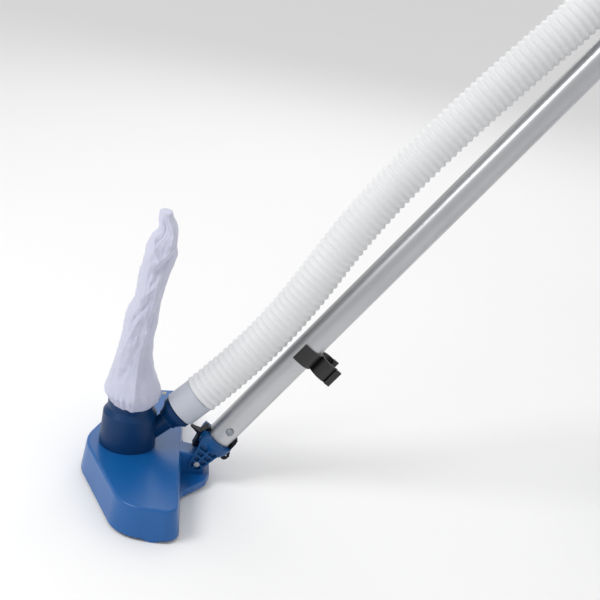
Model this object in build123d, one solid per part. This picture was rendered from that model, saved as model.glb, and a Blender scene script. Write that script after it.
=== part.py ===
"""Pool vacuum head with a debris bag, a hinged pole and a coiled suction hose.

Units are millimetres, +Z is up.  The origin lies on the pool floor under the
axis of the riser: +X points back toward the pole and Y runs across the head.
"""

import math
import os

from build123d import *

# Head: a flat triangular suction shell
HEAD_TOP = 36.0
SKIRT_BOTTOM = 3.0
WALL = 2.6
DRAFT_DEG = 7.0
TOP_ROUND = 3.0
APEX = (-47.3, 0.0)
FRONT_CORNER = (1.45, 130.4)
REAR_CORNER = (59.1, 136.6)
APEX_RADIUS = 55.0
FRONT_RADIUS = 38.0
REAR_RADIUS = 13.0
FOOT_RADIUS = 16.5
FOOT_X = 35.0
RISER_HOLE_RADIUS = 25.4
LUG_HALF_WIDTH = 12.5
LUG_RADIUS = 8.1

# Brushes under the head
BRUSH_TOP = 14.0
BRISTLE_TOP = 8.0
BRUSH_INSET = 12.0

# Riser, its water port and the swivel cuff
RISER_RADIUS = 31.0
NECK_RADIUS = 25.0
NECK_BORE = 22.0
NECK_TOP = 112.0
PORT_ORIGIN = (53.6, 0.0, 80.7)
PORT_ELEVATION = 46.2
SPIGOT_RADIUS = 17.4
CUFF_RADIUS = 20.5
CUFF_LENGTH = 30.0
RUNNING_FIT = 0.05

# Pole, its yoke and the hinge
PIVOT = (78.25, 0.0, 24.3)
POLE_ELEVATION = 54.81
PIVOT_ALONG = -33.9
PIVOT_FRONT = 1.6
POLE_RADIUS = 15.0
POLE_WALL = 1.2
POLE_LENGTH = 930.0
SOCKET_RADIUS = 14.2
SOCKET_LENGTH = 120.0
ARM_INNER = 13.0
ARM_OUTER = 18.0
COLLAR_RADIUS = 20.5
BOLT_RADIUS = 2.5
BOLT_HEAD_RADIUS = 3.0
BUTTON_ALONG = 19.0
POCKET_DEPTH = 3.3
BUTTON_RADIUS = 3.95
CLIP_ALONG = 130.0
CLIP_WIDTH = 20.5

# Suction hose
HOSE_RADIUS = 22.25
COIL_RADIUS = 222.0
COIL_CENTRE = (794.0, -100.0)
TAIL_LENGTH = 146.0
END_CUFF_LENGTH = 60.0
END_CUFF_RADIUS = 22.0

POLE_DIR = Vector(math.cos(math.radians(POLE_ELEVATION)), 0, math.sin(math.radians(POLE_ELEVATION)))
POLE_FRONT = Vector(-POLE_DIR.Z, 0, POLE_DIR.X)
POLE_START = Vector(*PIVOT) - POLE_DIR * PIVOT_ALONG - POLE_FRONT * PIVOT_FRONT
PORT_DIR = Vector(math.cos(math.radians(PORT_ELEVATION)), 0, math.sin(math.radians(PORT_ELEVATION)))
HOSE_START = Vector(*PORT_ORIGIN) + PORT_DIR * (CUFF_LENGTH + 0.8)

# The hose rises beside the pole, passes it on the far side, and falls to its coil
HOSE_ROUTE = [
    tuple(HOSE_START),
    (108, 0, 138.5),
    (160, 0, 210),
    (221.6, 0, 329.4),
    (308.3, 0, 447.7),
    (444, 4, 605.5),
    (564, 95, 763),
    (800, 140, 800),
    (1030, 137, 670),
    (1118, 125, 440),
    (1118, 122, 201),
    (984, 122, 66.75),
    (794, 122, 66.75),
]

# Frames whose x runs along the pole or the port; y stays the width of the head
POLE_FRAME = Plane(origin=POLE_START, x_dir=POLE_DIR, z_dir=POLE_FRONT)
PORT_FRAME = Plane(origin=PORT_ORIGIN, x_dir=(0, 1, 0), z_dir=PORT_DIR)


def block(x_range, y_range, z_range):
    """Box between two corners."""
    size = [high - low for low, high in (x_range, y_range, z_range)]
    centre = [(high + low) / 2 for low, high in (x_range, y_range, z_range)]
    return Pos(*centre) * Box(*size)


def turned(points, frame=Plane.XY):
    """Solid of revolution about the z axis of a frame, from (radius, height) points."""
    outline = make_face(Plane.XZ * Polyline(*points, close=True))
    return frame * revolve(outline, Axis.Z, 360)


def cross_pin(centre, radius, y_range):
    """Cylinder along the width of the head."""
    low, high = y_range
    return Pos(centre[0], (low + high) / 2, centre[2]) * Rot(90, 0, 0) * Cylinder(radius, high - low)


def along_pole(radius, start, end):
    """Cylinder along the pole's axis."""
    return POLE_FRAME * (Pos((start + end) / 2, 0, 0) * Rot(0, 90, 0) * Cylinder(radius, end - start))


def head_outline(grow):
    """Rounded triangle of the head's top edge, grown outward."""
    corners = [APEX, FRONT_CORNER, REAR_CORNER, (REAR_CORNER[0], -REAR_CORNER[1]), (FRONT_CORNER[0], -FRONT_CORNER[1])]
    face = make_face(Polyline(*corners, close=True))
    radii = [APEX_RADIUS, FRONT_RADIUS, REAR_RADIUS, REAR_RADIUS, FRONT_RADIUS]
    for corner, radius in zip(corners, radii):
        vertex = face.vertices().sort_by_distance((*corner, 0))[0]
        face = fillet(vertex, radius)
    return offset(face, grow) if grow else face


def brush_lines():
    """Centre line of each brush bar: name, start, end."""
    span = Vector(FRONT_CORNER[0] - APEX[0], FRONT_CORNER[1] - APEX[1])
    edge = span.normalized()
    inward = Vector(edge.Y, -edge.X)
    first = Vector(*APEX) + edge * 45 + inward * BRUSH_INSET
    last = Vector(*APEX) + edge * 126 + inward * BRUSH_INSET
    rear_x = REAR_CORNER[0] - 9.0
    return [
        ("rear", Vector(rear_x, -116), Vector(rear_x, 116)),
        ("front_far", first, last),
        ("front_near", Vector(first.X, -first.Y), Vector(last.X, -last.Y)),
    ]


def strip(start, end, width, z_range):
    """Upright strip along a line on the floor plan."""
    run = end - start
    middle = (start + end) * 0.5
    low, high = z_range
    turn = math.degrees(math.atan2(run.Y, run.X))
    return Pos(middle.X, middle.Y, (low + high) / 2) * Rot(0, 0, turn) * Box(run.length, width, high - low)


def head_shell():
    """Triangular suction shell with its tail, hinge lug and foot bumps."""
    height = HEAD_TOP - SKIRT_BOTTOM
    spread = height * math.tan(math.radians(DRAFT_DEG))
    outer = Pos(0, 0, SKIRT_BOTTOM) * extrude(head_outline(spread), height, taper=DRAFT_DEG)
    outer = fillet(outer.faces().sort_by(Axis.Z)[-1].edges(), TOP_ROUND)
    hollow = Pos(0, 0, SKIRT_BOTTOM) * extrude(head_outline(spread - WALL), height - WALL, taper=DRAFT_DEG)
    lug_end = PIVOT[0] + LUG_RADIUS
    lug_side = Polyline((54, 9), (54, HEAD_TOP), (63, 35), (72.5, 33.6), (PIVOT[0], PIVOT[2] + LUG_RADIUS),
                        (PIVOT[0], PIVOT[2]), (lug_end, PIVOT[2]), (lug_end, 9), close=True)
    lug = extrude(make_face(Plane.XZ * lug_side), LUG_HALF_WIDTH, both=True)
    lug += cross_pin(PIVOT, LUG_RADIUS, (-LUG_HALF_WIDTH, LUG_HALF_WIDTH))
    rim = [edge for edge in lug.edges()
           if abs(abs(edge.center().Y) - LUG_HALF_WIDTH) < 0.01 and edge.center().Z > 33]
    lug = fillet(rim, 1.6)
    shell = outer + tail_plate() + lug - hollow
    for _, start, end in brush_lines():
        shell += strip(start, end, 3.0, (BRUSH_TOP, HEAD_TOP - WALL + 0.5))
    end_turn = math.degrees(math.atan2(REAR_CORNER[1] - FRONT_CORNER[1], REAR_CORNER[0] - FRONT_CORNER[0]))
    for side in (-1, 1):
        bump = Pos(FOOT_X, side * 136.9, FOOT_RADIUS) * Rot(0, 0, side * end_turn) * Rot(90, 0, 0)
        bump = bump * Cylinder(FOOT_RADIUS, 2.2)
        shell += bump & block((0, 80), (-150, 150), (0, 4.5))
    shell -= Pos(0, 0, HEAD_TOP) * Cylinder(RISER_HOLE_RADIUS, 20)
    shell -= cross_pin(PIVOT, BOLT_RADIUS + RUNNING_FIT, (-20, 20))
    for x, y in screw_places():
        shell -= Pos(x, y, HEAD_TOP) * Cylinder(1.6, 12)
    return shell


def tail_plate():
    """Low plate behind the rear wall, under the hinge."""
    half = [(62.5, 63), (65, 52), (77, 40), (89.5, 25), (93.6, 11)]
    outline = [(56, -63)] + [(x, -y) for x, y in half] + half[::-1] + [(56, 63)]
    face = make_face(Polyline(*outline, close=True))
    for x, y in half[1:] + [(x, -y) for x, y in half[1:]]:
        face = fillet(face.vertices().sort_by_distance((x, y, 0))[0], 4.5)
    plate = Pos(0, 0, SKIRT_BOTTOM) * extrude(face, 8.0)
    return fillet(plate.faces().sort_by(Axis.Z)[-1].edges(), 1.5)


def screw_places():
    """Plan positions of the four screws that hold the riser."""
    return [(28.2 * math.cos(math.radians(a)), 28.2 * math.sin(math.radians(a))) for a in (45, 135, 225, 315)]


def riser():
    """Upright tube over the suction hole, with its neck and its side port."""
    body = turned([
        (0, HEAD_TOP), (RISER_RADIUS, HEAD_TOP), (29.2, 74), (NECK_RADIUS, 80), (NECK_RADIUS, 106),
        (26.5, 107.5), (26.5, 110.5), (NECK_RADIUS, NECK_TOP), (0, NECK_TOP),
    ])
    body += Pos(0, 0, 33) * Cylinder(25.2, 8)
    body += turned([
        (0, -42), (9, -42), (10.5, -18), (12.5, -18), (12.5, -15.5), (16.9, -8), (16.9, -6.8), (18.7, -6.2),
        (18.7, -1.2), (SPIGOT_RADIUS, -1),
        (SPIGOT_RADIUS, 27), (0, 27),
    ], PORT_FRAME)
    body -= turned([(0, 28), (NECK_BORE, 28), (NECK_BORE, 44), (27.5, 48), (27.5, 70), (NECK_BORE, 78),
                    (NECK_BORE, 120), (0, 120)])
    body -= turned([(0, -47), (7, -47), (7, -16), (14.8, -1), (14.8, 30), (0, 30)], PORT_FRAME)
    body -= turned([(15.9, 8), (18, 8), (18, 9.6), (15.9, 9.6)], PORT_FRAME)
    body -= turned([(15.9, 18), (18, 18), (18, 19.6), (15.9, 19.6)], PORT_FRAME)
    body -= turned([(24.0, 33.4), (26, 33.4), (26, 35.2), (24.0, 35.2)])
    for x, y in screw_places():
        body -= Pos(x, y, HEAD_TOP + 3.5) * Cylinder(1.5, 8)
    return body


def jet_manifold():
    """Ring inside the riser that sends water upward through eight nozzles."""
    ring = turned([(23, 49), (27.4, 49), (27.4, 57), (23, 57)])
    ring -= turned([(24.2, 50.4), (26.4, 50.4), (26.4, 55.6), (24.2, 55.6)])
    for k in range(8):
        angle = 22.5 + 45 * k
        ring += Rot(0, 0, angle) * (Pos(25.2, 0, 59.5) * (Cylinder(1.4, 6) - Cylinder(0.7, 6)))
    return ring


def riser_screws():
    """Four pan-head screws from under the head's top into the riser's foot."""
    screw = Pos(0, 0, 37) * Cylinder(1.5, 7.2) + Pos(0, 0, 32.3) * Cylinder(2.8, 2.2)
    return Compound([Pos(x, y, 0) * screw for x, y in screw_places()])


def port_orings():
    """Two sealing rings in the grooves of the port's spigot."""
    return Compound([PORT_FRAME * (Pos(0, 0, h) * Torus(16.65, 0.74)) for h in (8.8, 18.8)])


def hose_cuff():
    """Smooth swivelling cuff over the port."""
    bore = SPIGOT_RADIUS + RUNNING_FIT
    return turned([
        (bore, 0.2), (CUFF_RADIUS - 0.8, 0.2), (CUFF_RADIUS, 1), (CUFF_RADIUS, CUFF_LENGTH - 1.5),
        (CUFF_RADIUS - 1.2, CUFF_LENGTH), (16, CUFF_LENGTH), (16, 27.6), (bore, 27.6),
    ], PORT_FRAME)


def debris_bag():
    """Closed solid of the fabric bag, with a pocket for the riser's neck."""
    stations = [
        (91, 1.0, 30.0, 30.0), (100, 0.5, 31.0, 30.0), (124, -1.2, 23.5, 27.0), (159, -0.5, 17.8, 26.0),
        (184, 1.8, 17.0, 25.0), (206, 7.8, 14.0, 26.0), (231, 10.2, 15.0, 27.0), (262, 15.2, 16.8, 25.0),
        (288, 19.5, 10.5, 22.0), (303, 17.5, 4.5, 17.0),
    ]
    rings = [Pos(x, 0, z) * Ellipse(rx, ry) for z, x, rx, ry in stations]
    pocket = Pos(0, 0, 100) * Cylinder(26.8, 28)
    return loft(rings) - pocket


def cord_lock():
    """Small barrel that pinches the drawstring's ends behind the hem."""
    return Pos(34.5, 0, 98.6) * Rot(0, 90, 0) * (Cylinder(1.7, 4.4) - Cylinder(0.8, 4.4))


def hose_radii(points):
    """Largest tangent arc at each corner of the route."""
    radii = []
    for before, here, after in zip(points, points[1:], points[2:]):
        arriving = Vector(*here) - Vector(*before)
        leaving = Vector(*after) - Vector(*here)
        turn = math.radians(arriving.get_angle(leaving))
        radii.append(0.45 * min(arriving.length, leaving.length) / math.tan(turn / 2))
    return radii


def hose_run():
    """Plain tube along the stretch of hose that isn't coiled."""
    radii = hose_radii(HOSE_ROUTE)
    print("hose radii", [round(r) for r in radii])
    path = FilletPolyline(*HOSE_ROUTE, radius=radii)
    section = Plane(origin=path @ 0, z_dir=path % 0) * Circle(HOSE_RADIUS)
    tube = sweep(section, path=path)
    expected = math.pi * HOSE_RADIUS ** 2 * path.length
    print("hose run length", round(path.length), "volume ratio", round(tube.volume / expected, 4))
    print("hose length", round(path.length + 1.75 * math.tau * COIL_RADIUS + TAIL_LENGTH))
    return tube


def ring_sector(start_deg, end_deg, top):
    """Part of the coil's ring, one hose wide."""
    section = Pos(COIL_RADIUS, 0, 0) * make_face(Plane.XZ * Polyline(
        (-HOSE_RADIUS, 0), (HOSE_RADIUS, 0), (HOSE_RADIUS, top), (-HOSE_RADIUS, top), close=True))
    ring = revolve(section, Axis.Z, end_deg - start_deg)
    return Pos(*COIL_CENTRE, 0) * Rot(0, 0, start_deg) * ring


def hose_coil():
    """Closed solid of the put-away coil and of the straight tail that leaves it."""
    two_layers = 4 * HOSE_RADIUS
    coil = ring_sector(90, 405, two_layers) + ring_sector(45, 55, 75) + ring_sector(55, 90, two_layers / 2 - 0.1)
    tail_x = COIL_CENTRE[0] + COIL_RADIUS
    tail = Pos(tail_x, COIL_CENTRE[1] + TAIL_LENGTH / 2, HOSE_RADIUS) * Rot(90, 0, 0)
    return coil + tail * Cylinder(HOSE_RADIUS, TAIL_LENGTH)


def hose_end_cuff():
    """Plain push-on cuff at the wall end of the hose."""
    start = COIL_CENTRE[1] + TAIL_LENGTH
    frame = Plane(origin=(COIL_CENTRE[0] + COIL_RADIUS, start, HOSE_RADIUS), x_dir=(1, 0, 0), z_dir=(0, 1, 0))
    return turned([
        (17.5, 0), (END_CUFF_RADIUS, 0), (END_CUFF_RADIUS, 16), (20.4, 18), (20.4, END_CUFF_LENGTH - 4),
        (21.2, END_CUFF_LENGTH - 3), (21.2, END_CUFF_LENGTH), (17.5, END_CUFF_LENGTH),
    ], frame)


def arm_face():
    """Side outline of one yoke arm in (along, front) of the pole."""
    along, front = PIVOT_ALONG, PIVOT_FRONT
    round_end = Pos(along, front) * Circle(8.3)
    plate = make_face(Polyline(
        (along, front + 8.3), (-30, 10.6), (-21.8, 12.2), (-13.5, 15.8), (-5, 17.4), (-0.5, 17.4),
        (-0.5, -11), (-8.6, -10.4), (-16.6, -8.8), (-25, -7.6), (along, front - 8.3), close=True))
    return round_end + plate


def arm_pockets():
    """Moulded pockets in an arm: two columns, four rows, and a boss left round the bolt."""
    cells = None
    for low, high in ((-16.7, -11.3), (-24.1, -18.7), (-31.4, -26.1), (-42.0, -33.4)):
        for front, top in ((3.0, 14.0), (-9.0, 1.0)):
            cell = Pos((low + high) / 2, (front + top) / 2) * Rectangle(high - low, top - front)
            cells = cell if cells is None else cells + cell
    inset = offset(arm_face(), -1.5)
    return (cells & inset) - Pos(PIVOT_ALONG, PIVOT_FRONT) * Circle(BOLT_HEAD_RADIUS + 0.7)


def yoke():
    """Fork that carries the pole: two arms, a collar and a hollow spigot."""
    side_plane = Plane(origin=POLE_START, x_dir=POLE_DIR, z_dir=(0, -1, 0))
    collar_frame = Plane(origin=POLE_START, x_dir=(0, 1, 0), z_dir=POLE_DIR)
    body = turned([(0, -14), (17.8, -14), (COLLAR_RADIUS, -7), (COLLAR_RADIUS, -0.6), (COLLAR_RADIUS - 0.6, 0),
                   (14.9, 0), (14.9, 0.6), (0, 0.6)], collar_frame)
    body += along_pole(POLE_RADIUS - POLE_WALL - 0.05, 0, 45)
    for low in (ARM_INNER, -ARM_OUTER):
        body += side_plane * (Pos(0, 0, low) * extrude(arm_face(), ARM_OUTER - ARM_INNER))
    body -= along_pole(11.0, -15, 46)
    body -= POLE_FRAME * block((-46, -14), (-ARM_INNER, ARM_INNER), (-30, 30))
    for low in (ARM_OUTER - POCKET_DEPTH, -ARM_OUTER):
        body -= side_plane * (Pos(0, 0, low) * extrude(arm_pockets(), POCKET_DEPTH))
    for side in (-1, 1):
        body -= POLE_FRAME * block((-15, 1), (-6.6, 6.6), sorted((side * 15.2, side * 26)))
        body -= POLE_FRAME * (Pos(BUTTON_ALONG, side * 14, 0) * Rot(90, 0, 0) * Cylinder(4.35, 10))
        body -= POLE_FRAME * (Pos(*wing_hinge(side)) * Rot(90, 0, 0) * Cylinder(1.0, 19))
    body -= cross_pin(PIVOT, BOLT_RADIUS, (-30, 30))
    body -= cross_pin(PIVOT, BOLT_HEAD_RADIUS, (-ARM_OUTER - 1, -ARM_OUTER + 2.4))
    return body


def wing_hinge(side):
    """Hinge of a release wing in (along, width, front) of the pole."""
    return (-9.0, 0, 18.0) if side > 0 else (-8.0, 0, -18.2)


def side_prism(points, half_width):
    """Flat piece between the yoke's arms, drawn in (along, front) of the pole."""
    plane = Plane(origin=POLE_START, x_dir=POLE_DIR, z_dir=(0, -1, 0))
    return plane * (Pos(0, 0, -half_width) * extrude(make_face(Polyline(*points, close=True)), 2 * half_width))


def wing_front():
    """Thumb lever: a body between the arms, a thin fin and a short nose over the pole."""
    outline = [(-24.5, 16.8), (-23.5, 13.5), (-19.5, 8.6), (-16.6, 8.6), (-16.6, 16.3), (3.4, 16.3), (3.8, 17.2),
               (1.8, 18.8), (-2, 19.8), (-5.6, 20.8), (-6.8, 26), (-7.2, 32.8), (-8.8, 32.8), (-9.2, 26),
               (-10.2, 20.8), (-13, 19.6)]
    wing = side_prism(outline, 6.0)
    taper = make_face(Plane.YZ * Polyline((-6, 0), (6, 0), (6, 20), (2.4, 33), (-2.4, 33), (-6, 20), close=True))
    wing &= POLE_FRAME * extrude(taper, 40, both=True)
    return wing - POLE_FRAME * (Pos(*wing_hinge(1)) * Rot(90, 0, 0) * Cylinder(1.05, 19))


def wing_rear():
    """Release lever that lies along the back of the pole."""
    outline = [(-15.6, -17.6), (-10, -16.4), (13.4, -15.9), (12.6, -17.6), (7.6, -18.8), (-1.6, -19), (-4, -21),
               (-8.1, -23.5), (-13, -23), (-15.3, -21)]
    wing = side_prism(outline, 6.0)
    return wing - POLE_FRAME * (Pos(*wing_hinge(-1)) * Rot(90, 0, 0) * Cylinder(1.05, 19))


def wing_pins():
    """Two cross pins on which the wings turn."""
    pins = [POLE_FRAME * (Pos(*wing_hinge(side)) * Rot(90, 0, 0) * Cylinder(1.0, 18)) for side in (-1, 1)]
    return Compound(pins)


def pole():
    """Lower section of the telescoping pole, with button holes at both ends."""
    tube = along_pole(POLE_RADIUS, 0.6, POLE_LENGTH) - along_pole(POLE_RADIUS - POLE_WALL, -1, POLE_LENGTH)
    tube -= along_pole(SOCKET_RADIUS, POLE_LENGTH - SOCKET_LENGTH, POLE_LENGTH + 1)
    for along in (BUTTON_ALONG, POLE_LENGTH - BUTTON_ALONG):
        tube -= POLE_FRAME * (Pos(along, 0, 0) * Rot(90, 0, 0) * Cylinder(4.35, 60))
    return tube


def snap_button(side):
    """Domed button with a flange that keeps it in the spigot."""
    stem = Pos(BUTTON_ALONG, side * 12.6, 0) * Rot(90, 0, 0) * Cylinder(BUTTON_RADIUS, 5.6)
    dome = Pos(BUTTON_ALONG, side * 14.2, 0) * Sphere(4.95)
    dome = dome & block((10, 30), sorted((side * 15.3, side * 18.8)), (-BUTTON_RADIUS, BUTTON_RADIUS))
    dome = dome & (Pos(BUTTON_ALONG, side * 15, 0) * Rot(90, 0, 0) * Cylinder(BUTTON_RADIUS, 10))
    flange = Pos(BUTTON_ALONG, side * 9.4, 0) * Rot(90, 0, 0) * Cylinder(4.3, 1.0)
    return POLE_FRAME * (stem + dome + flange)


def button_spring():
    """Bent leaf inside the spigot that pushes both buttons outward."""
    leaves = block((14, 40), (8.2, 8.7), (-3, 3)) + block((14, 40), (-8.7, -8.2), (-3, 3))
    return POLE_FRAME * (leaves + block((39.5, 40), (-8.7, 8.7), (-3, 3)))


def pivot_bolt():
    """Hinge bolt, its head sunk in the near arm."""
    shaft = cross_pin(PIVOT, BOLT_RADIUS, (-ARM_OUTER + 2.2, 23.4))
    return shaft + cross_pin(PIVOT, BOLT_HEAD_RADIUS, (-ARM_OUTER + 0.2, -ARM_OUTER + 2.4))


def pivot_nut():
    """Hexagon nut on the far arm."""
    prism = extrude(RegularPolygon(4.0, 6, major_radius=False), 4.6)
    nut = Pos(PIVOT[0], ARM_OUTER + 4.6, PIVOT[2]) * Rot(90, 0, 0) * prism
    return nut - cross_pin(PIVOT, BOLT_RADIUS, (0, 40))


def pivot_washers():
    """Thin washers between the arms and the lug."""
    ring = cross_pin(PIVOT, 6.0, (12.55, 12.98)) - cross_pin(PIVOT, BOLT_RADIUS, (10, 20))
    other = cross_pin(PIVOT, 6.0, (-12.98, -12.55)) - cross_pin(PIVOT, BOLT_RADIUS, (-20, -10))
    return Compound([ring, other])


def c_ring(centre, inner, outer, mouth_deg, facing):
    """C-shaped section whose mouth faces forward (+1) or backward (-1)."""
    ring = Circle(outer) - Circle(inner)
    reach = 2 * outer
    spread = reach * math.tan(math.radians(mouth_deg / 2))
    wedge = make_face(Polyline((0, 0), (facing * reach, spread), (facing * reach, -spread), close=True))
    return Pos(centre, 0) * (ring - wedge)


def pole_clip():
    """Double C clip: one ring on the pole and one open holder behind it."""
    section_plane = Plane(origin=POLE_START, x_dir=POLE_FRONT, z_dir=POLE_DIR)
    ring = c_ring(0, POLE_RADIUS + RUNNING_FIT, 17.5, 110, 1)
    holder = c_ring(-29.3, 11.5, 14.0, 100, -1)
    bridge = Pos(-16.4, 0) * Rectangle(3.2, 9) - Circle(POLE_RADIUS + RUNNING_FIT) - Pos(-29.3, 0) * Circle(11.5)
    lips = [Pos(-39.6, side * 13.2) * Rectangle(7, 2.6) for side in (-1, 1)]
    face = ring + holder + bridge
    for lip in lips:
        face += lip
    return section_plane * (Pos(0, 0, CLIP_ALONG) * extrude(face, CLIP_WIDTH))


def main():
    """Write every node to its own STEP file."""
    os.makedirs("parts", exist_ok=True)
    nodes = {
        "head_shell": head_shell(),
        "riser": riser(),
        "riser_seal": turned([(24.05, 33.5), (25.35, 33.5), (25.35, 35.1), (24.05, 35.1)]),
        "jet_manifold": jet_manifold(),
        "riser_screws": riser_screws(),
        "port_orings": port_orings(),
        "hose_cuff": hose_cuff(),
        "debris_bag": debris_bag(),
        "drawstring": Pos(0, 0, 98) * Torus(25.95, 0.7),
        "cord_lock": cord_lock(),
        "hose_run": hose_run(),
        "hose_coil": hose_coil(),
        "hose_end_cuff": hose_end_cuff(),
        "yoke": yoke(),
        "wing_front": wing_front(),
        "wing_rear": wing_rear(),
        "wing_pins": wing_pins(),
        "button_near": snap_button(-1),
        "button_far": snap_button(1),
        "button_spring": button_spring(),
        "pole": pole(),
        "pivot_bolt": pivot_bolt(),
        "pivot_nut": pivot_nut(),
        "pivot_washers": pivot_washers(),
        "pole_clip": pole_clip(),
    }
    for name, start, end in brush_lines():
        nodes[f"brush_bar_{name}"] = strip(start, end, 7.0, (BRISTLE_TOP, BRUSH_TOP))
        nodes[f"bristles_{name}"] = strip(start, end, 4.0, (0, BRISTLE_TOP))
    for name, shape in nodes.items():
        export_step(shape, f"parts/{name}.step")


main()
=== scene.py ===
"""Pool vacuum head with its bag, pole and hose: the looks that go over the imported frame."""

import logging
import math
from dataclasses import dataclass, field
from enum import Enum
from typing import Optional, Sequence

import bpy
from mathutils import Matrix, Vector, noise


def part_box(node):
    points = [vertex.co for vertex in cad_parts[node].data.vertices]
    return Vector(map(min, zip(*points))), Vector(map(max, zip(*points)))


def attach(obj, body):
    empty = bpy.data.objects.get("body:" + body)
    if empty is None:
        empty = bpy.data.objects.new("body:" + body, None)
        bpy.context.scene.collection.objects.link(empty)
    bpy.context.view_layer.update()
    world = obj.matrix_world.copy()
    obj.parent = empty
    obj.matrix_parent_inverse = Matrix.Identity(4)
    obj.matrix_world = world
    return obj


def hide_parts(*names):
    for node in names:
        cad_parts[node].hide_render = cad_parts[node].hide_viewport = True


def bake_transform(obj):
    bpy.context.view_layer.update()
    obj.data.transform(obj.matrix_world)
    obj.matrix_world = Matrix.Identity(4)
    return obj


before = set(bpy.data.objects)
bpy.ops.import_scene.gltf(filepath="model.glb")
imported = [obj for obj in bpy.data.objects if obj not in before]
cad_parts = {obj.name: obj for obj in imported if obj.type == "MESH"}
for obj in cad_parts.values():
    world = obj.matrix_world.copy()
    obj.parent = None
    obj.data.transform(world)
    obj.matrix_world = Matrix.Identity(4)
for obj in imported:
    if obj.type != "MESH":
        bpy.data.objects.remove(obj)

logging.basicConfig(level=logging.INFO, format="%(message)s")
log = logging.getLogger("pool_vacuum")

MM = 0.001
POLE_ELEVATION = math.radians(54.81)


class Body(Enum):
    """CAD bodies that the pieces ride on."""

    HEAD = "head"
    POLE = "pole_arm"


def linear(code: str) -> tuple[float, float, float, float]:
    """Turn an sRGB hex value into a linear colour.

    Args:
        code: Six hex digits, with or without a leading hash.

    Returns:
        Linear red, green, blue and an alpha of one.
    """
    digits = code.lstrip("#")
    values = [int(digits[i:i + 2], 16) / 255 for i in (0, 2, 4)]
    curved = [v / 12.92 if v <= 0.04045 else ((v + 0.055) / 1.055) ** 2.4 for v in values]
    return (curved[0], curved[1], curved[2], 1.0)


def add_node(
    tree: bpy.types.NodeTree,
    kind: str,
    settings: Optional[dict] = None,
    values: Optional[dict] = None,
    links: Optional[dict] = None,
) -> bpy.types.Node:
    """Add one shader node.

    Args:
        tree: The material's node tree.
        kind: The node's type name.
        settings: Attributes of the node.
        values: Constants for its input sockets.
        links: Output sockets to join to its inputs.

    Returns:
        The new node.
    """
    node = tree.nodes.new(kind)
    for name, value in (settings or {}).items():
        setattr(node, name, value)
    for name, value in (values or {}).items():
        node.inputs[name].default_value = value
    for name, socket in (links or {}).items():
        tree.links.new(socket, node.inputs[name])
    return node


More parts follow.
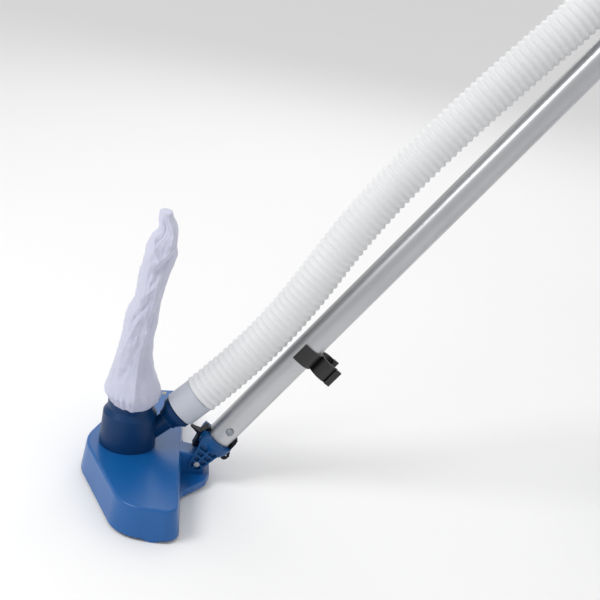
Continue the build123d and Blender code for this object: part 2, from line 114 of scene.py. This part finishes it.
@dataclass(frozen=True)
class Finish:
    """A moulded or worked surface with slight colour drift and a fine bump.

    Attributes:
        name: What the material is.
        colour: Main sRGB colour.
        second: sRGB colour that it drifts toward.
        roughness: Micro roughness of the surface.
        grain_mm: Size of the bump's grain.
        grain_depth_mm: Depth of the bump's grain.
        drift_mm: Size of the colour's slow patches.
        stretch: Grain scale along x, y and z.
        tilt: Turn of the grain about the y axis, in radians.
        shader: Constants for the shader's own sockets.
    """

    name: str
    colour: str
    second: str
    roughness: float
    grain_mm: float = 0.6
    grain_depth_mm: float = 0.01
    drift_mm: float = 60.0
    stretch: tuple[float, float, float] = (1.0, 1.0, 1.0)
    tilt: float = 0.0
    shader: dict = field(default_factory=dict)

    def material(self) -> bpy.types.Material:
        """Build the material once and return it."""
        found = bpy.data.materials.get(self.name)
        if found is not None:
            return found
        made = bpy.data.materials.new(self.name)
        made.use_nodes = True
        tree = made.node_tree
        tree.nodes.clear()
        place = add_node(tree, "ShaderNodeTexCoord").outputs["Object"]
        colour, height, roughness = self.pattern(tree, place)
        bump = add_node(
            tree, "ShaderNodeBump",
            values={"Strength": 1.0, "Distance": self.grain_depth_mm * MM},
            links={"Height": height},
        )
        principled = add_node(
            tree, "ShaderNodeBsdfPrincipled",
            values=dict(self.shader),
            links={"Base Color": colour, "Roughness": roughness, "Normal": bump.outputs["Normal"]},
        )
        add_node(tree, "ShaderNodeOutputMaterial", links={"Surface": principled.outputs["BSDF"]})
        return made

    def pattern(self, tree: bpy.types.NodeTree, place: bpy.types.NodeSocket) -> tuple:
        """Colour drift, grain height and roughness drift.

        Args:
            tree: The material's node tree.
            place: Socket with the surface's own coordinates in metres.

        Returns:
            Sockets for the colour, the bump's height and the roughness.
        """
        drift = add_node(
            tree, "ShaderNodeTexNoise",
            values={"Scale": 1000 / self.drift_mm, "Detail": 3.0, "Roughness": 0.5},
            links={"Vector": place},
        )
        mix = self.mixed(tree, drift.outputs["Fac"])
        grain = add_node(
            tree, "ShaderNodeTexNoise",
            values={"Scale": 1000 / self.grain_mm, "Detail": 2.0},
            links={"Vector": self.aligned(tree, place)},
        )
        rough = add_node(
            tree, "ShaderNodeMapRange",
            values={"To Min": self.roughness * 0.88, "To Max": self.roughness * 1.12},
            links={"Value": drift.outputs["Fac"]},
        )
        return mix, grain.outputs["Fac"], rough.outputs["Result"]

    def mixed(self, tree: bpy.types.NodeTree, factor: bpy.types.NodeSocket) -> bpy.types.NodeSocket:
        """Ramp between the finish's two colours.

        Args:
            tree: The material's node tree.
            factor: Socket that chooses between them.

        Returns:
            The colour's socket.
        """
        ramp = add_node(tree, "ShaderNodeValToRGB", links={"Fac": factor})
        ramp.color_ramp.elements[0].color = linear(self.colour)
        ramp.color_ramp.elements[1].color = linear(self.second)
        ramp.color_ramp.elements[0].position = 0.3
        ramp.color_ramp.elements[1].position = 0.7
        return ramp.outputs["Color"]

    def aligned(self, tree: bpy.types.NodeTree, place: bpy.types.NodeSocket) -> bpy.types.NodeSocket:
        """Coordinates turned by the finish's tilt and stretched along its grain.

        Args:
            tree: The material's node tree.
            place: Socket with the surface's own coordinates in metres.

        Returns:
            Socket with the turned and scaled coordinates.
        """
        turned = add_node(
            tree, "ShaderNodeMapping",
            values={"Rotation": (0.0, self.tilt, 0.0)},
            links={"Vector": place},
        )
        scaled = add_node(
            tree, "ShaderNodeMapping",
            values={"Scale": self.stretch},
            links={"Vector": turned.outputs["Vector"]},
        )
        return scaled.outputs["Vector"]


@dataclass(frozen=True)
class WovenMesh(Finish):
    """Thin woven polyester, whose threads show as a faint grid."""

    thread_mm: float = 0.9

    def pattern(self, tree: bpy.types.NodeTree, place: bpy.types.NodeSocket) -> tuple:
        """Two crossed sets of threads over the usual drift.

        Args:
            tree: The material's node tree.
            place: Socket with the surface's own coordinates in metres.

        Returns:
            Sockets for the colour, the bump's height and the roughness.
        """
        colour, grain, rough = super().pattern(tree, place)
        heights = []
        for axis in ("X", "Z"):
            wave = add_node(
                tree, "ShaderNodeTexWave",
                settings={"wave_type": "BANDS", "bands_direction": axis, "wave_profile": "SIN"},
                values={"Scale": 1000 / self.thread_mm / 20, "Distortion": 0.6, "Detail": 1.0},
                links={"Vector": place},
            )
            heights.append(wave.outputs["Fac"])
        woven = add_node(tree, "ShaderNodeMath", settings={"operation": "MAXIMUM"})
        tree.links.new(heights[0], woven.inputs[0])
        tree.links.new(heights[1], woven.inputs[1])
        total = add_node(tree, "ShaderNodeMath", settings={"operation": "MULTIPLY_ADD"})
        tree.links.new(grain, total.inputs[0])
        total.inputs[1].default_value = 0.4
        tree.links.new(woven.outputs["Value"], total.inputs[2])
        return colour, total.outputs["Value"], rough


# Glossy injection-moulded ABS: even colour, a soft clear highlight on every round edge
HEAD_ABS = Finish("moulded ABS, mid blue", "#0b5ca1", "#09579a", 0.34, 0.5, 0.006,
                  shader={"IOR": 1.53, "Specular IOR Level": 0.4, "Coat Weight": 0.1, "Coat Roughness": 0.2})
RISER_ABS = Finish("moulded ABS, deep blue", "#013361", "#012f5a", 0.40, 0.5, 0.006,
                   shader={"IOR": 1.53, "Specular IOR Level": 0.22})
YOKE_ABS = Finish("moulded ABS, yoke blue", "#0a4f88", "#08477e", 0.36, 0.4, 0.006,
                  shader={"IOR": 1.53, "Specular IOR Level": 0.3})
# Navy of the wings and brush bars. On wing_front's web between the yoke arms, the same dark navy is painted
# shade: it stands for the shaded inner face of the yoke's far arm.
NAVY_ABS_AND_PAINTED_SHADE = Finish("moulded ABS, navy and painted shade", "#030e24", "#020b1d", 0.38, 0.4, 0.006,
                  shader={"IOR": 1.53, "Specular IOR Level": 0.16})
# Extruded and clear anodised: fine streaks along the tube and a broad satin highlight
POLE_ALLOY = Finish("anodised aluminium", "#c2c3c6", "#b8b9bc", 0.34, 0.5, 0.004, 90.0,
                    (0.02, 1.0, 1.0), POLE_ELEVATION, {"Metallic": 1.0})
# Corrugated polyethylene: waxy white that passes a little light at the ridges
HOSE_PE = Finish("corrugated polyethylene, white", "#e4e5e6", "#dfe0e1", 0.42, 1.2, 0.02,
                 shader={"IOR": 1.51, "Subsurface Weight": 0.12, "Subsurface Radius": (0.004, 0.004, 0.004)})
CUFF_PE = Finish("moulded polyethylene, grey white", "#c3c7d0", "#bdc1ca", 0.45, 0.8, 0.01,
                 shader={"IOR": 1.51, "Subsurface Weight": 0.08, "Subsurface Radius": (0.003, 0.003, 0.003)})
CLIP_PA = Finish("moulded nylon, black", "#131314", "#1a1a1b", 0.38, 0.4, 0.008, shader={"IOR": 1.53})
BUTTON_PA = Finish("moulded nylon, grey", "#8b9299", "#868d94", 0.35, 0.4, 0.006, shader={"IOR": 1.53})
STEEL = Finish("stainless steel, turned", "#c8c6c2", "#bdbbb7", 0.24, 0.3, 0.004, shader={"Metallic": 1.0})
SEAL = Finish("nitrile rubber", "#161616", "#1c1c1c", 0.75, 0.5, 0.02, shader={"IOR": 1.52})
WASHER = Finish("acetal, white", "#e3e3e0", "#dcdcd8", 0.4, shader={"IOR": 1.48})
JET = Finish("moulded ABS, light grey", "#b9bdc2", "#b2b6bb", 0.45, shader={"IOR": 1.53})
BRISTLE = Finish("nylon bristle, blue", "#3c62a0", "#2f5390", 0.5, 0.4, 0.02, shader={"IOR": 1.53})
CORD = Finish("braided cotton, cream", "#d9d2bd", "#cfc7b0", 0.85, 0.5, 0.08, shader={"IOR": 1.5})
LOCK = Finish("moulded acetal, cream", "#cfcdc4", "#c8c6bc", 0.4, shader={"IOR": 1.48})
# Thin polyester: matte, slightly bluish white, and bright where light comes through
BAG_CLOTH = WovenMesh("woven polyester, white", "#cacbdd", "#c2c3d5", 0.8, 0.5, 0.05, 40.0,
                      shader={"IOR": 1.5, "Sheen Weight": 0.25, "Sheen Roughness": 0.4,
                              "Subsurface Weight": 0.2, "Subsurface Radius": (0.004, 0.004, 0.005)})
FLOOR_PAINT = Finish("matt studio floor", "#fafafa", "#f9f9f9", 0.9, 3.0, 0.01, 400.0)

NODE_FINISH = {
    "head_shell": HEAD_ABS,
    "riser": RISER_ABS,
    "riser_seal": SEAL,
    "jet_manifold": JET,
    "riser_screws": STEEL,
    "port_orings": SEAL,
    "hose_cuff": CUFF_PE,
    "hose_end_cuff": CUFF_PE,
    "drawstring": CORD,
    "cord_lock": LOCK,
    "yoke": YOKE_ABS,
    "wing_front": NAVY_ABS_AND_PAINTED_SHADE,
    # wing_front's web between the yoke arms is dark as painted shade of the far arm's inner face; the rest
    # of the wing is navy plastic
    "wing_rear": NAVY_ABS_AND_PAINTED_SHADE,
    "wing_pins": STEEL,
    "button_near": BUTTON_PA,
    "button_far": BUTTON_PA,
    "pole": POLE_ALLOY,
    "pivot_bolt": STEEL,
    "pivot_nut": STEEL,
    "pivot_washers": WASHER,
    "pole_clip": CLIP_PA,
    "brush_bar_rear": NAVY_ABS_AND_PAINTED_SHADE,
    "brush_bar_front_far": NAVY_ABS_AND_PAINTED_SHADE,
    "brush_bar_front_near": NAVY_ABS_AND_PAINTED_SHADE,
}


def mesh_piece(
    name: str,
    points: Sequence[Vector],
    faces: Sequence[Sequence[int]],
    finish: Finish,
    body: Body | None,
    smooth: bool = True,
) -> bpy.types.Object:
    """Make a mesh object, dress it and let it ride on a body.

    Args:
        name: The piece's name.
        points: Vertices in the row frame, in metres.
        faces: Vertex indices of each face.
        finish: Finish of the whole piece.
        body: Body that the piece moves with; none leaves the piece unattached.
        smooth: Whether its faces are shaded smooth.

    Returns:
        The new object.
    """
    mesh = bpy.data.meshes.new(name)
    mesh.from_pydata([tuple(p) for p in points], [], [tuple(f) for f in faces])
    mesh.update()
    for polygon in mesh.polygons:
        polygon.use_smooth = smooth
    mesh.materials.append(finish.material())
    piece = bpy.data.objects.new(name, mesh)
    bpy.context.scene.collection.objects.link(piece)
    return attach(piece, body.value) if body else piece


def ring_faces(rings: int, around: int, start: int = 0) -> list[tuple[int, int, int, int]]:
    """Quads between neighbouring rings of a tube.

    Args:
        rings: Number of rings.
        around: Points in each ring.
        start: Index of the first point.

    Returns:
        Vertex indices of the quads.
    """
    faces = []
    for i in range(rings - 1):
        for j in range(around):
            k = (j + 1) % around
            low, high = start + i * around, start + (i + 1) * around
            faces.append((low + j, low + k, high + k, high + j))
    return faces


def smoothstep(value: float) -> float:
    """Ease from 0 to 1.

    Args:
        value: Position; below 0 and above 1 the ease is flat.

    Returns:
        The eased position.
    """
    t = min(1.0, max(0.0, value))
    return t * t * (3 - 2 * t)


def between(stations: Sequence[tuple[float, ...]], key: float) -> list[float]:
    """Interpolate in straight lines in a table whose first column is the key.

    Args:
        stations: Rows in rising order of their first value.
        key: Where to read the table.

    Returns:
        The other columns at that key.
    """
    if key <= stations[0][0]:
        return list(stations[0][1:])
    for low, high in zip(stations, stations[1:]):
        if key <= high[0]:
            t = (key - low[0]) / (high[0] - low[0])
            return [a + (b - a) * t for a, b in zip(low[1:], high[1:])]
    return list(stations[-1][1:])


@dataclass
class SuctionHose:
    """Corrugated hose from the swivel cuff to its put-away coil."""

    diameter: float = 44.5
    pitch: float = 7.5
    groove: float = 2.3
    around: int = 32
    per_ridge: int = 6
    coil_radius: float = 222.0
    coil_centre: tuple[float, float] = (794.0, -100.0)
    tail: float = 146.0
    route: list[tuple[float, float, float]] = field(default_factory=lambda: [
        (74.92, 0, 102.93),
        (108, 0, 138.5),
        (160, 0, 210),
        (221.6, 0, 329.4),
        (308.3, 0, 447.7),
        (444, 4, 605.5),
        (564, 95, 763),
        (800, 140, 800),
        (1030, 137, 670),
        (1118, 125, 440),
        (1118, 122, 201),
        (984, 122, 66.75),
        (794, 122, 66.75),
    ])

    def coil_points(self) -> list[tuple[float, float, float]]:
        """Control points of the turns and of the straight tail."""
        step = 22.5
        reach = self.coil_radius / math.cos(math.radians(step / 2))
        low = self.diameter / 2
        points = []
        for k in range(28):
            turned = step * (k + 0.5)
            angle = math.radians(90 + turned)
            height = low + self.diameter * (1 - smoothstep((turned - 270) / 90))
            x = self.coil_centre[0] + reach * math.cos(angle)
            y = self.coil_centre[1] + reach * math.sin(angle)
            points.append((x, y, height))
        tail_x = self.coil_centre[0] + self.coil_radius
        end_y = self.coil_centre[1] + self.tail
        return points + [(tail_x, end_y - 100, low), (tail_x, end_y, low)]

    def centreline(self) -> list[Vector]:
        """Points along the smooth spline of the route."""
        controls = self.route + self.coil_points()
        curve = bpy.data.curves.new("hose route", "CURVE")
        curve.dimensions = "3D"
        spline = curve.splines.new("NURBS")
        spline.points.add(len(controls) - 1)
        for point, place in zip(spline.points, controls):
            point.co = (place[0] * MM, place[1] * MM, place[2] * MM, 1)
        spline.order_u = 3
        spline.use_endpoint_u = True
        spline.resolution_u = 24
        holder = bpy.data.objects.new("hose route", curve)
        bpy.context.scene.collection.objects.link(holder)
        line = bpy.data.meshes.new_from_object(holder)
        points = [v.co.copy() for v in line.vertices]
        bpy.data.objects.remove(holder)
        bpy.data.curves.remove(curve)
        bpy.data.meshes.remove(line)
        return points

    def resampled(self, line: Sequence[Vector], step: float) -> tuple[list[Vector], float]:
        """Even points along a line.

        Args:
            line: Points of the line.
            step: Wanted spacing, in metres.

        Returns:
            The even points and the line's length.
        """
        lengths = [0.0]
        for a, b in zip(line, line[1:]):
            lengths.append(lengths[-1] + (b - a).length)
        count = round(lengths[-1] / step)
        even, i = [], 0
        for k in range(count + 1):
            want = lengths[-1] * k / count
            while i < len(line) - 2 and lengths[i + 1] < want:
                i += 1
            span = lengths[i + 1] - lengths[i]
            even.append(line[i].lerp(line[i + 1], (want - lengths[i]) / span if span else 0.0))
        return even, lengths[-1]

    def build(self) -> bpy.types.Object:
        rough_line = self.centreline()
        line, length = self.resampled(rough_line, self.pitch * MM / self.per_ridge)
        radius = self.diameter * MM / 2
        points: list[Vector] = []
        tangent = (line[1] - line[0]).normalized()
        side = tangent.cross(Vector((0, 1, 0))).normalized()
        for i, here in enumerate(line):
            ahead = (line[min(i + 1, len(line) - 1)] - line[max(i - 1, 0)]).normalized()
            side = (side - ahead * side.dot(ahead)).normalized()
            up = ahead.cross(side)
            wave = abs(math.sin(math.pi * i / self.per_ridge)) ** 2.2
            r = radius - self.groove * MM * wave
            for j in range(self.around):
                angle = math.tau * j / self.around
                points.append(here + side * (r * math.cos(angle)) + up * (r * math.sin(angle)))
        faces = ring_faces(len(line), self.around)
        for end, first in ((0, 0), (-1, (len(line) - 1) * self.around)):
            middle = len(points)
            points.append(line[end])
            for j in range(self.around):
                k = (j + 1) % self.around
                faces.append((middle, first + k, first + j) if end == 0 else (middle, first + j, first + k))
        piece = mesh_piece("suction_hose", points, faces, HOSE_PE, Body.HEAD)
        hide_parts("hose_run", "hose_coil")
        return piece


# Width of one degree round the bag, for measuring distances on its cloth
MM_PER_DEGREE = 0.45


@dataclass
class Crease:
    """Fold in the bag's cloth, from one point of its surface to another.

    Attributes:
        start: Angle in degrees and height in mm where it begins.
        end: Angle in degrees and height in mm where it ends.
        depth: Rise of the cloth along it, in mm; negative for a valley.
        width: Reach of the fold to each side, in mm.
    """

    start: tuple[float, float]
    end: tuple[float, float]
    depth: float
    width: float

    def rise(self, angle: float, height: float) -> float:
        """Height of the fold over the plain cloth at a point of the surface.

        Args:
            angle: Angle round the bag, in degrees.
            height: Height above the floor, in mm.

        Returns:
            Rise of the cloth, in mm.
        """
        scale = MM_PER_DEGREE
        ax, az = self.start[0] * scale, self.start[1]
        bx, bz = self.end[0] * scale, self.end[1]
        px, pz = angle * scale, height
        dx, dz = bx - ax, bz - az
        t = ((px - ax) * dx + (pz - az) * dz) / (dx * dx + dz * dz)
        over = max(0.0, -t, t - 1) * math.hypot(dx, dz)
        t = min(1.0, max(0.0, t))
        away = math.hypot(px - ax - dx * t, pz - az - dz * t)
        fade = math.exp(-(over / 12) ** 2)
        return self.depth * fade * math.exp(-away / self.width)


@dataclass
class DebrisBag:
    """Thin fabric bag tied over the riser's neck and standing limp above it."""

    rows: int = 220
    around: int = 180
    hem: float = 89.0
    top: float = 305.0
    # height, left edge, right edge, half depth
    stations: list[tuple[float, float, float, float]] = field(default_factory=lambda: [
        (89.0, -25.5, 28.0, 27.0),
        (94.0, -28.0, 30.5, 29.0),
        (99.0, -30.6, 31.0, 30.5),
        (105.0, -29.6, 30.0, 30.0),
        (124.0, -24.6, 22.0, 26.0),
        (140.0, -21.6, 18.6, 24.0),
        (159.0, -18.0, 16.8, 22.5),
        (184.0, -15.4, 19.0, 22.0),
        (196.0, -11.8, 19.4, 23.0),
        (206.0, -6.4, 20.8, 24.0),
        (214.0, -5.6, 22.6, 25.0),
        (231.0, -5.0, 25.4, 25.0),
        (250.0, -3.0, 30.0, 23.0),
        (260.0, -1.6, 32.4, 22.0),
        (268.0, -0.8, 30.4, 21.0),
        (279.0, 3.6, 30.4, 19.0),
        (285.0, 9.4, 30.0, 17.0),
        (293.0, 9.4, 28.4, 15.0),
        (299.0, 8.4, 24.4, 13.0),
        (305.0, 9.0, 22.6, 11.0),
    ])
    # angle, height of the hem over its mean line
    hemline: list[tuple[float, float]] = field(default_factory=lambda: [
        (-180, 3.0),
        (-150, 1.6),
        (-128, -0.6),
        (-112, -1.6),
        (-95, -1.2),
        (-78, -2.2),
        (-58, -2.4),
        (-40, -0.8),
        (-10, 2.4),
        (60, 1.0),
        (120, -1.0),
        (180, 3.0),
    ])
    creases: list[Crease] = field(default_factory=lambda: [
        Crease((-88, 86), (-66, 178), 4.4, 5.0),
        Crease((-58, 96), (-48, 160), -5.0, 9.0),
        Crease((-24, 92), (-34, 140), 2.6, 6.0),
        Crease((-120, 96), (-112, 138), -1.8, 8.0),
        Crease((-136, 150), (-104, 190), 2.4, 5.0),
        Crease((-66, 178), (-76, 236), 3.8, 5.0),
        Crease((-46, 176), (-34, 222), -4.2, 8.0),
        Crease((-40, 206), (-62, 222), 2.8, 4.0),
        Crease((-120, 190), (-92, 214), -3.0, 6.0),
        Crease((-128, 214), (-80, 232), 2.6, 5.0),
        Crease((-96, 232), (-62, 250), -3.4, 7.0),
        Crease((-142, 284), (-94, 258), 3.6, 3.5),
        Crease((-94, 258), (-30, 274), 4.8, 3.5),
        Crease((-90, 246), (-40, 262), -4.4, 6.0),
        Crease((-58, 276), (-66, 300), 3.6, 4.0),
        Crease((-116, 276), (-98, 298), -3.0, 5.0),
        Crease((60, 95), (80, 190), 3.6, 5.0),
        Crease((100, 100), (120, 170), -3.4, 6.0),
        Crease((40, 200), (110, 235), 3.8, 5.0),
        Crease((60, 262), (130, 244), -3.8, 5.0),
        Crease((20, 150), (50, 215), 3.0, 5.0),
        Crease((150, 150), (170, 240), 3.0, 5.0),
    ])

    def surface(self, angle: float, height: float) -> Vector:
        """Point of the cloth, in mm.

        Args:
            angle: Angle round the bag, in degrees.
            height: Height above the floor, in mm.

        Returns:
            The point, with its folds and the gathers of its hem.
        """
        left, right, depth = between(self.stations, height)
        turn = math.radians(angle)
        half = (right - left) / 2
        away = (height - self.hem) / (self.top - self.hem)
        ripple = noise.noise(Vector((math.cos(turn) * 1.6, math.sin(turn) * 1.6, height / 38 + 4)))
        fine = noise.noise(Vector((math.cos(turn) * 4.5, math.sin(turn) * 4.5, height / 11 + 9)))
        push = 1.8 * ripple * smoothstep(away * 6) + 1.1 * fine * smoothstep(away * 4)
        push += 0.5 * noise.noise(Vector((math.cos(turn) * 9, math.sin(turn) * 9, height / 5)))
        for crease in self.creases:
            spread = (angle - crease.start[0] + 180) % 360 - 180 + crease.start[0]
            push += crease.rise(spread, height)
        push = max(push, -0.4 - 0.3 * max(0.0, height - 116))
        gather = 0.7 * math.sin(23 * turn + 2 * math.sin(3 * turn)) * math.exp(-((height - 96) / 7) ** 2)
        push = (push + gather) * min(1.0, (self.top - height) / 14 + 0.25)
        x = (left + right) / 2 + (half + push * 0.55) * math.cos(turn)
        y = (depth + push) * math.sin(turn)
        dip = between(self.hemline, (angle + 180) % 360 - 180)[0] + 0.3 * math.sin(17 * turn)
        return Vector((x, y, height + dip * math.exp(-(height - self.hem) / 10)))

    def build(self) -> bpy.types.Object:
        """Make the bag with a turned-in hem and a closed top."""
        points: list[Vector] = []
        inner = [(self.hem + 5, 0.93), (self.hem + 1.5, 0.94)]
        for height, scale in inner:
            for j in range(self.around):
                p = self.surface(360 * j / self.around - 180, self.hem)
                points.append(Vector((p.x * scale, p.y * scale, p.z + height - self.hem)))
        for i in range(self.rows + 1):
            height = self.hem + (self.top - self.hem) * i / self.rows
            for j in range(self.around):
                points.append(self.surface(360 * j / self.around - 180, height))
        rings = self.rows + 1 + len(inner)
        faces = [tuple(f) for f in ring_faces(rings, self.around)]
        last = (rings - 1) * self.around
        crown = [points[last + j] for j in range(self.around)]
        centre = sum(crown, Vector()) / self.around
        for scale, rise in ((0.7, 0.5), (0.35, 0.2)):
            start = len(points)
            points.extend(centre + (p - centre) * scale + Vector((0, 0, rise)) for p in crown)
            for j in range(self.around):
                k = (j + 1) % self.around
                faces.append((last + j, last + k, start + k, start + j))
            last = start
        middle = len(points)
        points.append(centre)
        faces += [(last + j, last + (j + 1) % self.around, middle) for j in range(self.around)]
        piece = mesh_piece("debris_bag_cloth", [p * MM for p in points], faces, BAG_CLOTH, Body.HEAD)
        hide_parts("debris_bag")
        return piece


@dataclass
class BristleTufts:
    """Rows of short nylon tufts in one brush bar."""

    node: str
    spacing: float = 4.2
    filaments: int = 7

    def build(self) -> bpy.types.Object:
        """Make the tufts of one bar in place of its plain strip."""
        low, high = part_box(self.node)
        if self.node.endswith("rear"):
            start = Vector(((low.x + high.x) / 2, low.y, 0))
            end = Vector(((low.x + high.x) / 2, high.y, 0))
        else:
            edge = Vector((1.87, 0.7, 0)) * MM
            start, end = Vector((low.x, low.y, 0)) + edge, Vector((high.x, high.y, 0)) - edge
            if self.node.endswith("near"):
                start = Vector((low.x + edge.x, high.y - edge.y, 0))
                end = Vector((high.x - edge.x, low.y + edge.y, 0))
        along = (end - start).normalized()
        across = Vector((-along.y, along.x, 0))
        count = int((end - start).length / (self.spacing * MM))
        points: list[Vector] = []
        faces: list[tuple[int, ...]] = []
        for i in range(count):
            for row in (-1, 1):
                root = start + along * ((i + 0.5) * self.spacing * MM) + across * (row * 1.0 * MM)
                for k in range(self.filaments):
                    turn = math.tau * k / self.filaments + i
                    lean = Vector((math.cos(turn), math.sin(turn), 0))
                    foot = root + lean * (0.55 * MM) + Vector((0, 0, high.z))
                    tip = root + lean * (0.95 * MM) + Vector((0, 0, low.z + 0.0002))
                    self.filament(points, faces, foot, tip)
        piece = mesh_piece(self.node + "_tufts", points, faces, BRISTLE, Body.HEAD)
        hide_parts(self.node)
        return piece

    def filament(self, points: list[Vector], faces: list, foot: Vector, tip: Vector) -> None:
        """Add one tapered filament of four sides.

        Args:
            points: Vertices to add to, in metres.
            faces: Faces to add to.
            foot: Where it leaves the bar.
            tip: Its free end.
        """
        start = len(points)
        for centre, radius in ((foot, 0.22 * MM), (tip, 0.12 * MM)):
            for k in range(4):
                turn = math.tau * k / 4
                points.append(centre + Vector((math.cos(turn), math.sin(turn), 0)) * radius)
        faces += ring_faces(2, 4, start)
        faces.append((start + 7, start + 6, start + 5, start + 4))


@dataclass
class ButtonLeaf:
    """One leaf of the spring behind the snap buttons."""

    side: int
    pole_start: tuple[float, float, float] = (99.09, 0.0, 51.08)
    free_end: float = 14.0
    bend_end: float = 24.0
    root: float = 39.6
    offset: float = 8.45
    half_thickness: float = 0.22
    half_width: float = 3.0
    rows: int = 24

    def place(self, along: float, across: float, front: float) -> Vector:
        """World point of a place beside the pole's axis.

        Args:
            along: Distance up the pole from its lower end, in mm.
            across: Distance from the axis along y, in mm.
            front: Distance in front of the axis, in mm.

        Returns:
            The point, in metres.
        """
        ahead = Vector((math.cos(POLE_ELEVATION), 0, math.sin(POLE_ELEVATION)))
        out = Vector((-ahead.z, 0, ahead.x))
        return (Vector(self.pole_start) + ahead * along + out * front + Vector((0, across, 0))) * MM

    def corners(self) -> list[tuple[float, float]]:
        """Corners of the leaf's section: through its thickness and across its width, in mm."""
        thin, wide = self.half_thickness, self.half_width
        return [(-thin, -wide), (thin, -wide), (thin, wide), (-thin, wide)]

    def build(self) -> bpy.types.Object:
        """Make the leaf with its half of the bridge, in place of the plain spring."""
        points: list[Vector] = []
        step = (self.root - self.free_end) / self.rows
        path = [(self.free_end + step * i, self.offset) for i in range(self.rows)]
        path += [(self.root, 8.4), (self.root, 0.0)]
        for i, (along, across) in enumerate(path):
            turned = i > self.rows
            for edge, front in self.corners():
                shift = -edge if turned or i == self.rows else 0.0
                spread = 0.0 if turned else edge
                points.append(self.place(along - shift, self.side * (across + spread), front))
        faces = [tuple(f) for f in ring_faces(len(path), 4)]
        last = (len(path) - 1) * 4
        faces += [(3, 2, 1, 0), (last, last + 1, last + 2, last + 3)]
        name = "near" if self.side < 0 else "far"
        piece = mesh_piece(f"button_leaf_{name}", points, faces, STEEL, None)
        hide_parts("button_spring")
        start = self.place(self.root - 2, self.side * self.offset, 0)
        end = self.place(self.bend_end, self.side * self.offset, 0)
        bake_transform(piece)
        return piece


@dataclass
class Studio:
    """Pale floor, soft lights and the camera."""

    place: tuple[float, float, float] = (0.01288, -1.12917, 0.66963)
    azimuth: float = 0.1347
    down: float = 0.3728
    roll: float = 0.1554
    lens: float = 69.11
    reach: float = 30.0
    floor_gap: float = 0.0005
    sky: float = 0.68

    def camera(self) -> None:
        """Place the camera."""
        ahead = Vector((
            math.sin(self.azimuth) * math.cos(self.down),
            math.cos(self.azimuth) * math.cos(self.down),
            -math.sin(self.down),
        ))
        level = Vector((math.cos(self.azimuth), -math.sin(self.azimuth), 0))
        over = level.cross(ahead)
        right = level * math.cos(self.roll) + over * math.sin(self.roll)
        up = over * math.cos(self.roll) - level * math.sin(self.roll)
        data = bpy.data.cameras.new("camera")
        data.lens = self.lens
        data.sensor_width = 36.0
        data.clip_start, data.clip_end = 0.05, 60.0
        holder = bpy.data.objects.new("camera", data)
        rows = [(right[i], up[i], -ahead[i], self.place[i]) for i in range(3)]
        holder.matrix_world = Matrix((*rows, (0, 0, 0, 1)))
        bpy.context.scene.collection.objects.link(holder)
        bpy.context.scene.camera = holder

    def floor(self) -> None:
        """Lay the floor."""
        mesh = bpy.data.meshes.new("floor")
        far, low = self.reach, -self.floor_gap
        corners = [(-far, -far, low), (far, -far, low), (far, far, low), (-far, far, low)]
        mesh.from_pydata(corners, [], [(0, 1, 2, 3)])
        mesh.materials.append(FLOOR_PAINT.material())
        plane = bpy.data.objects.new("floor", mesh)
        bpy.context.scene.collection.objects.link(plane)

    def light(
        self,
        name: str,
        place: Sequence[float],
        target: Sequence[float],
        size: float,
        power: float,
    ) -> None:
        """Hang one soft square light that points at a target.

        Args:
            name: The light's name.
            place: Where it hangs, in metres.
            target: Point that it faces, in metres.
            size: Length of its side, in metres.
            power: Power in watts.
        """
        data = bpy.data.lights.new(name, "AREA")
        data.shape = "SQUARE"
        data.size = size
        data.energy = power
        holder = bpy.data.objects.new(name, data)
        holder.location = place
        aim = Vector(target) - Vector(place)
        holder.rotation_euler = aim.to_track_quat("-Z", "Y").to_euler()
        bpy.context.scene.collection.objects.link(holder)

    def build(self) -> None:
        """Set up the whole studio."""
        self.camera()
        self.floor()
        self.light("key", (-1.1, -0.45, 1.6), (0.1, 0, 0.2), 0.8, 15)
        self.light("fill", (1.3, -1.2, 1.2), (0.2, 0, 0.3), 1.4, 1)
        self.light("back", (0.5, 1.6, 1.5), (0.1, 0, 0.2), 1.6, 8)
        world = bpy.data.worlds.new("studio")
        world.use_nodes = True
        world.node_tree.nodes["Background"].inputs["Color"].default_value = (1, 1, 1, 1)
        world.node_tree.nodes["Background"].inputs["Strength"].default_value = self.sky
        bpy.context.scene.world = world
        bpy.context.scene.view_settings.view_transform = "Standard"


def dress_cad() -> None:
    """Give every carried-over CAD node its finish."""
    for node, finish in NODE_FINISH.items():
        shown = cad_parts[node]
        shown.data.materials.clear()
        shown.data.materials.append(finish.material())


def main() -> None:
    """Build the scene in order."""
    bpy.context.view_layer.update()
    Studio().build()
    log.info("studio ready")
    hose = SuctionHose().build()
    log.info("%s: %d faces", hose.name, len(hose.data.polygons))
    dress_cad()
    log.info("%d CAD nodes dressed", len(NODE_FINISH))
    bag = DebrisBag().build()
    log.info("%s: %d faces", bag.name, len(bag.data.polygons))
    for bar in ("rear", "front_far", "front_near"):
        tufts = BristleTufts("bristles_" + bar).build()
        log.info("%s: %d faces", tufts.name, len(tufts.data.polygons))
    for side in (-1, 1):
        leaf = ButtonLeaf(side).build()
        log.info("%s: %d faces", leaf.name, len(leaf.data.polygons))


if __name__ == "__main__":
    main()
